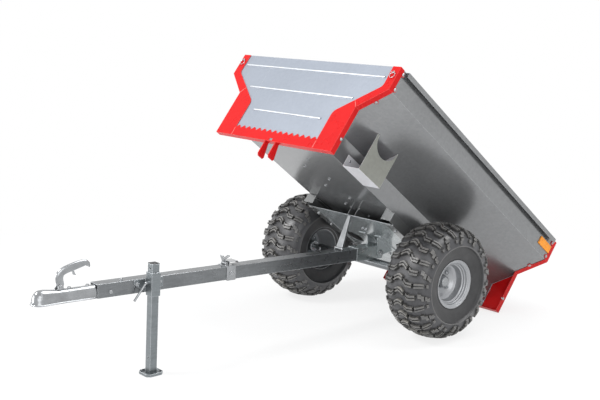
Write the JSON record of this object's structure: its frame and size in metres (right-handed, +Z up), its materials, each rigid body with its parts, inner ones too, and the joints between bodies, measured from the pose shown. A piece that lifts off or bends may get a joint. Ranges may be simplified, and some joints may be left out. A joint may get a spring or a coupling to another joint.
{
  "type": "all-terrain vehicle trailer",
  "caption": "Single-axle tipping trailer with galvanised load box, red end frames, drawbar, ball coupling, support leg and wide lug tyres",
  "frame": {"origin": "centre of the trailer's bounding box on the ground, with the box tipped and the drawbar on its leg", "axes": "+X across the trailer to its near side, -Y to the towing vehicle, +Z up"},
  "size_m": [1.202, 2.7165, 1.3123],
  "materials": {
    "red_frame": "glossy red powder coat",
    "galvanised_sheet": "bright galvanised sheet, soft mirror",
    "galvanised_steel": "dull galvanised steel",
    "zinc": "bright zinc plate",
    "rim_silver": "silver paint",
    "tyre_rubber": "matt rubber",
    "black_plastic": "matt",
    "orange_lens": "clear orange"
  },
  "bodies": {
    "chassis": {"drawbar": "galvanised_steel", "drawbar_shoe": "galvanised_steel", "axle_tube": "galvanised_steel", "wheel_spindles": "galvanised_steel", "spindle_bolts": "zinc", "spindle_nuts": "zinc", "pivot_bolt": "zinc", "stay_bracket": "galvanised_steel", "catch_bracket": "zinc", "catch_bolt": "zinc", "coupling_head": "zinc", "coupling_bolts": "zinc", "handle_pin": "zinc", "leg_sleeve": "galvanised_steel", "sleeve_bolts": "zinc"},
    "clamp_handle": {"clamp_screw": "zinc"},
    "support_leg": {"leg_tube": "galvanised_steel", "leg_plug": "black_plastic", "leg_foot": "galvanised_steel"},
    "coupling_lever": {"coupling_handle": "zinc"},
    "safety_trigger": {"handle_trigger": "zinc"},
    "tipping_stay": {"tip_stay": "galvanised_steel"},
    "catch": {"catch_lever": "zinc"},
    "near_wheel": {"near_tyre": "tyre_rubber", "near_rim": "rim_silver", "near_hub": "galvanised_steel", "near_bearings": "zinc", "near_nuts": "zinc", "near_cap": "zinc"},
    "far_wheel": {"far_tyre": "tyre_rubber", "far_rim": "rim_silver", "far_hub": "galvanised_steel", "far_bearings": "zinc", "far_nuts": "zinc", "far_cap": "zinc"},
    "load_box": {"near_side": "galvanised_sheet", "far_side": "galvanised_sheet", "floor_bolts": "zinc", "front_frame": "red_frame", "rear_frame": "red_frame", "guide_lugs": "red_frame", "frame_bolts": "zinc", "cradle_plate": "galvanised_sheet", "cradle_rails": "galvanised_sheet", "cradle_spine": "galvanised_sheet", "pivot_cheeks": "galvanised_steel", "cradle_bolts": "zinc", "side_pocket": "galvanised_sheet", "pocket_rivets": "zinc", "reflectors": "orange_lens", "lynch_pins": "zinc", "front_hatch": "galvanised_sheet"},
    "rear_gate": {"rear_hatch": "galvanised_sheet"}
  },
  "joints": [
    {"name": "box_tip", "type": "hinge", "parent": "chassis", "child": "load_box", "pos_m": [0, 0.56476, 0.32919], "axis": [1, 0, 0], "range_deg": [0, 35.51]},
    {"name": "stay_fold", "type": "hinge", "parent": "chassis", "child": "tipping_stay", "pos_m": [0, 0.30852, 0.37802], "axis": [1, 0, 0], "range_deg": [0, 107]},
    {"name": "near_wheel_spin", "type": "hinge", "parent": "chassis", "child": "near_wheel", "pos_m": [0.465, 0.52624, 0.2795], "axis": [1, 0, 0], "continuous": true},
    {"name": "far_wheel_spin", "type": "hinge", "parent": "chassis", "child": "far_wheel", "pos_m": [-0.465, 0.52624, 0.2795], "axis": [1, 0, 0], "continuous": true},
    {"name": "leg_height", "type": "slide", "parent": "chassis", "child": "support_leg", "axis": [0, 0.0401, 0.9992], "range_m": [0, 0.3]},
    {"name": "clamp_turn", "type": "hinge", "parent": "chassis", "child": "clamp_handle", "pos_m": [0.062, -0.82543, 0.40204], "axis": [0, -0.9992, 0.0401], "range_deg": [0, 180]},
    {"name": "coupling_lift", "type": "hinge", "parent": "chassis", "child": "coupling_lever", "pos_m": [0, -1.23034, 0.43732], "axis": [1, 0, 0], "range_deg": [0, 40]},
    {"name": "trigger_squeeze", "type": "hinge", "parent": "coupling_lever", "child": "safety_trigger", "pos_m": [0, -1.17029, 0.49716], "axis": [1, 0, 0], "range_deg": [0, 14], "stiffness_Nm_per_rad": 0.05},
    {"name": "catch_swing", "type": "hinge", "parent": "chassis", "child": "catch", "pos_m": [0, -0.40377, 0.41013], "axis": [-1, 0, 0], "range_deg": [0, 24]},
    {"name": "rear_gate_lift", "type": "slide", "parent": "load_box", "child": "rear_gate", "axis": [0, 0.613, 0.7901], "range_m": [0, 0.45]}
  ],
  "couplings": [
    {"joint": "stay_fold", "follows": "box_tip", "ratio": 3}
  ]
}
